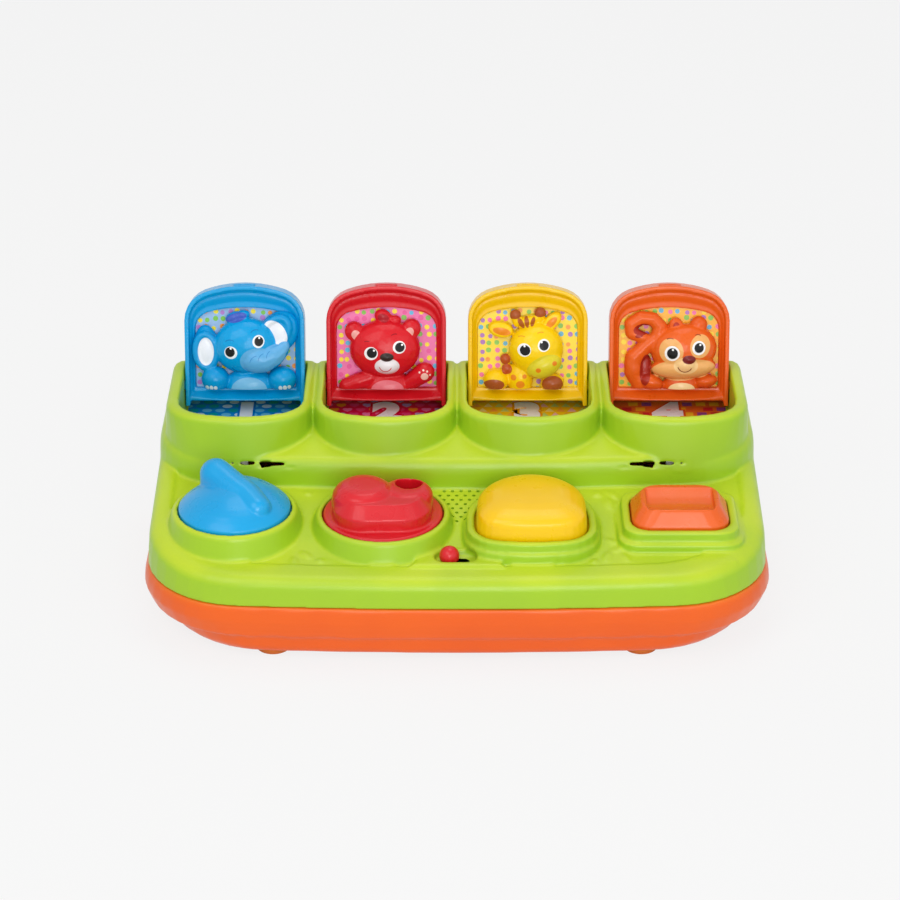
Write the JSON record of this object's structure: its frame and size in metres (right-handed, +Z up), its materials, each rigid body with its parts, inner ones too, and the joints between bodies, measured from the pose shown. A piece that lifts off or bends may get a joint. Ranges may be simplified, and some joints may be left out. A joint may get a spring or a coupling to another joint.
{
  "type": "pop up animal toy",
  "caption": "Tabletop toy: a twist knob, a dial, a push button and a push bar on a sloped deck each release a sprung lid that lifts an animal out of its well.",
  "frame": {"origin": "middle of the footprint, on the surface that the toy stands on", "axes": "+X to the right as the child sees it, +Y away from the child, +Z up"},
  "size_m": [0.2998, 0.1652, 0.1269],
  "materials": {
    "orange_casing": "moulded, light sheen",
    "green_casing": "moulded, light sheen, embossed here and there",
    "foot_rubber": "matt rubber",
    "screw_steel": "zinc plated",
    "cell_jacket": "printed film on steel",
    "contact_plate": "nickel plated",
    "circuit_board": "solder mask on laminate",
    "components": "moulded black",
    "switches": "moulded black",
    "switch_can": "pressed steel can",
    "speaker_basket": "pressed steel, painted",
    "speaker_cone": "film cone",
    "magnet": "sintered ferrite and steel",
    "number_print_1": "printed film",
    "number_print_2": "printed film",
    "number_print_3": "printed film",
    "number_print_4": "printed film",
    "spring_steel": "bright spring wire",
    "blue_plastic": "moulded, glossy",
    "elephant_blue": "moulded and painted",
    "picture_print_1": "printed film",
    "red_plastic": "moulded, glossy",
    "bear_red": "moulded and painted",
    "picture_print_2": "printed film",
    "yellow_plastic": "moulded, glossy",
    "giraffe_yellow": "moulded and painted",
    "picture_print_3": "printed film",
    "orange_plastic": "moulded, glossy",
    "squirrel_orange": "moulded and painted",
    "picture_print_4": "printed film",
    "latch_plastic": "natural acetal"
  },
  "bodies": {
    "root": {"lower_casing": "orange_casing", "upper_casing": "green_casing", "feet": "foot_rubber", "case_screws": "screw_steel", "battery_cover": "orange_casing", "battery_cover_screw": "screw_steel", "batteries": "cell_jacket", "battery_contacts": "contact_plate", "circuit_board": "circuit_board", "board_components": "components", "board_screws": "screw_steel", "touch_switches": "switches", "mode_switch": "switch_can", "speaker_frame": "speaker_basket", "speaker_cone": "speaker_cone", "speaker_magnet": "magnet", "speaker_screws": "screw_steel", "number_label_1": "number_print_1", "number_label_2": "number_print_2", "number_label_3": "number_print_3", "number_label_4": "number_print_4", "door_spring_1": "spring_steel", "door_spring_2": "spring_steel", "door_spring_3": "spring_steel", "door_spring_4": "spring_steel", "return_spring_1": "spring_steel", "return_spring_2": "spring_steel", "return_spring_3": "spring_steel", "return_spring_4": "spring_steel", "latch_spring_1": "spring_steel", "latch_spring_2": "spring_steel", "latch_spring_3": "spring_steel", "latch_spring_4": "spring_steel"},
    "lid_1": {"door_1": "blue_plastic", "elephant": "elephant_blue", "picture_label_1": "picture_print_1"},
    "lid_2": {"door_2": "red_plastic", "bear": "bear_red", "picture_label_2": "picture_print_2"},
    "lid_3": {"door_3": "yellow_plastic", "giraffe": "giraffe_yellow", "picture_label_3": "picture_print_3"},
    "lid_4": {"door_4": "orange_plastic", "squirrel": "squirrel_orange", "picture_label_4": "picture_print_4"},
    "twist_knob": {"twist_knob": "blue_plastic"},
    "dial": {"dial": "red_plastic"},
    "push_button": {"push_button": "yellow_plastic"},
    "push_bar": {"push_bar": "orange_plastic"},
    "latch_1": {"latch_1": "latch_plastic"},
    "latch_2": {"latch_2": "latch_plastic"},
    "latch_3": {"latch_3": "latch_plastic"},
    "latch_4": {"latch_4": "latch_plastic"},
    "mode_slider": {"mode_slider": "red_plastic"}
  },
  "joints": [
    {"name": "lid_1_hinge", "type": "hinge", "parent": "root", "child": "lid_1", "pos_m": [-0.10575, 0.06174, 0.077], "axis": [1, 0, 0], "range_deg": [0, 105], "stiffness_Nm_per_rad": 0.02, "springref_deg": -20.05},
    {"name": "lid_2_hinge", "type": "hinge", "parent": "root", "child": "lid_2", "pos_m": [-0.03525, 0.06174, 0.077], "axis": [1, 0, 0], "range_deg": [0, 105], "stiffness_Nm_per_rad": 0.02, "springref_deg": -20.05},
    {"name": "lid_3_hinge", "type": "hinge", "parent": "root", "child": "lid_3", "pos_m": [0.03525, 0.06174, 0.077], "axis": [1, 0, 0], "range_deg": [0, 105], "stiffness_Nm_per_rad": 0.02, "springref_deg": -20.05},
    {"name": "lid_4_hinge", "type": "hinge", "parent": "root", "child": "lid_4", "pos_m": [0.10575, 0.06174, 0.077], "axis": [1, 0, 0], "range_deg": [0, 105], "stiffness_Nm_per_rad": 0.02, "springref_deg": -20.05},
    {"name": "knob_twist", "type": "hinge", "parent": "root", "child": "twist_knob", "pos_m": [-0.10575, -0.03086, 0.05], "axis": [0, 0, 1], "range_deg": [0, 45], "stiffness_Nm_per_rad": 0.02, "springref_deg": -11.46},
    {"name": "dial_turn", "type": "hinge", "parent": "root", "child": "dial", "pos_m": [-0.03525, -0.03086, 0.05], "axis": [0, 0, -1], "range_deg": [0, 45], "stiffness_Nm_per_rad": 0.02, "springref_deg": -11.46},
    {"name": "button_press", "type": "slide", "parent": "root", "child": "push_button", "axis": [0, 0, -1], "range_m": [0, 0.004], "stiffness_N_per_m": 400, "springref_m": -0.0015, "deforming": ["return_spring_3"]},
    {"name": "bar_press", "type": "slide", "parent": "root", "child": "push_bar", "axis": [0, 0, -1], "range_m": [0, 0.004], "stiffness_N_per_m": 400, "springref_m": -0.0015, "deforming": ["return_spring_4"]},
    {"name": "latch_1_slide", "type": "slide", "parent": "root", "child": "latch_1", "axis": [0, -1, 0], "range_m": [0, 0.00182], "deforming": ["latch_spring_1"]},
    {"name": "latch_2_slide", "type": "slide", "parent": "root", "child": "latch_2", "axis": [0, -1, 0], "range_m": [0, 0.00182], "deforming": ["latch_spring_2"]},
    {"name": "latch_3_slide", "type": "slide", "parent": "root", "child": "latch_3", "axis": [0, -1, 0], "range_m": [0, 0.00182], "deforming": ["latch_spring_3"]},
    {"name": "latch_4_slide", "type": "slide", "parent": "root", "child": "latch_4", "axis": [0, -1, 0], "range_m": [0, 0.00182], "deforming": ["latch_spring_4"]},
    {"name": "mode_slide", "type": "slide", "parent": "root", "child": "mode_slider", "axis": [1, 0, 0], "range_m": [0, 0.006]}
  ],
  "couplings": [
    {"joint": "latch_1_slide", "follows": "knob_twist", "m_per_rad": 0.002292},
    {"joint": "latch_2_slide", "follows": "dial_turn", "m_per_rad": 0.002292},
    {"joint": "latch_3_slide", "follows": "button_press", "ratio": 0.45},
    {"joint": "latch_4_slide", "follows": "bar_press", "ratio": 0.45}
  ]
}
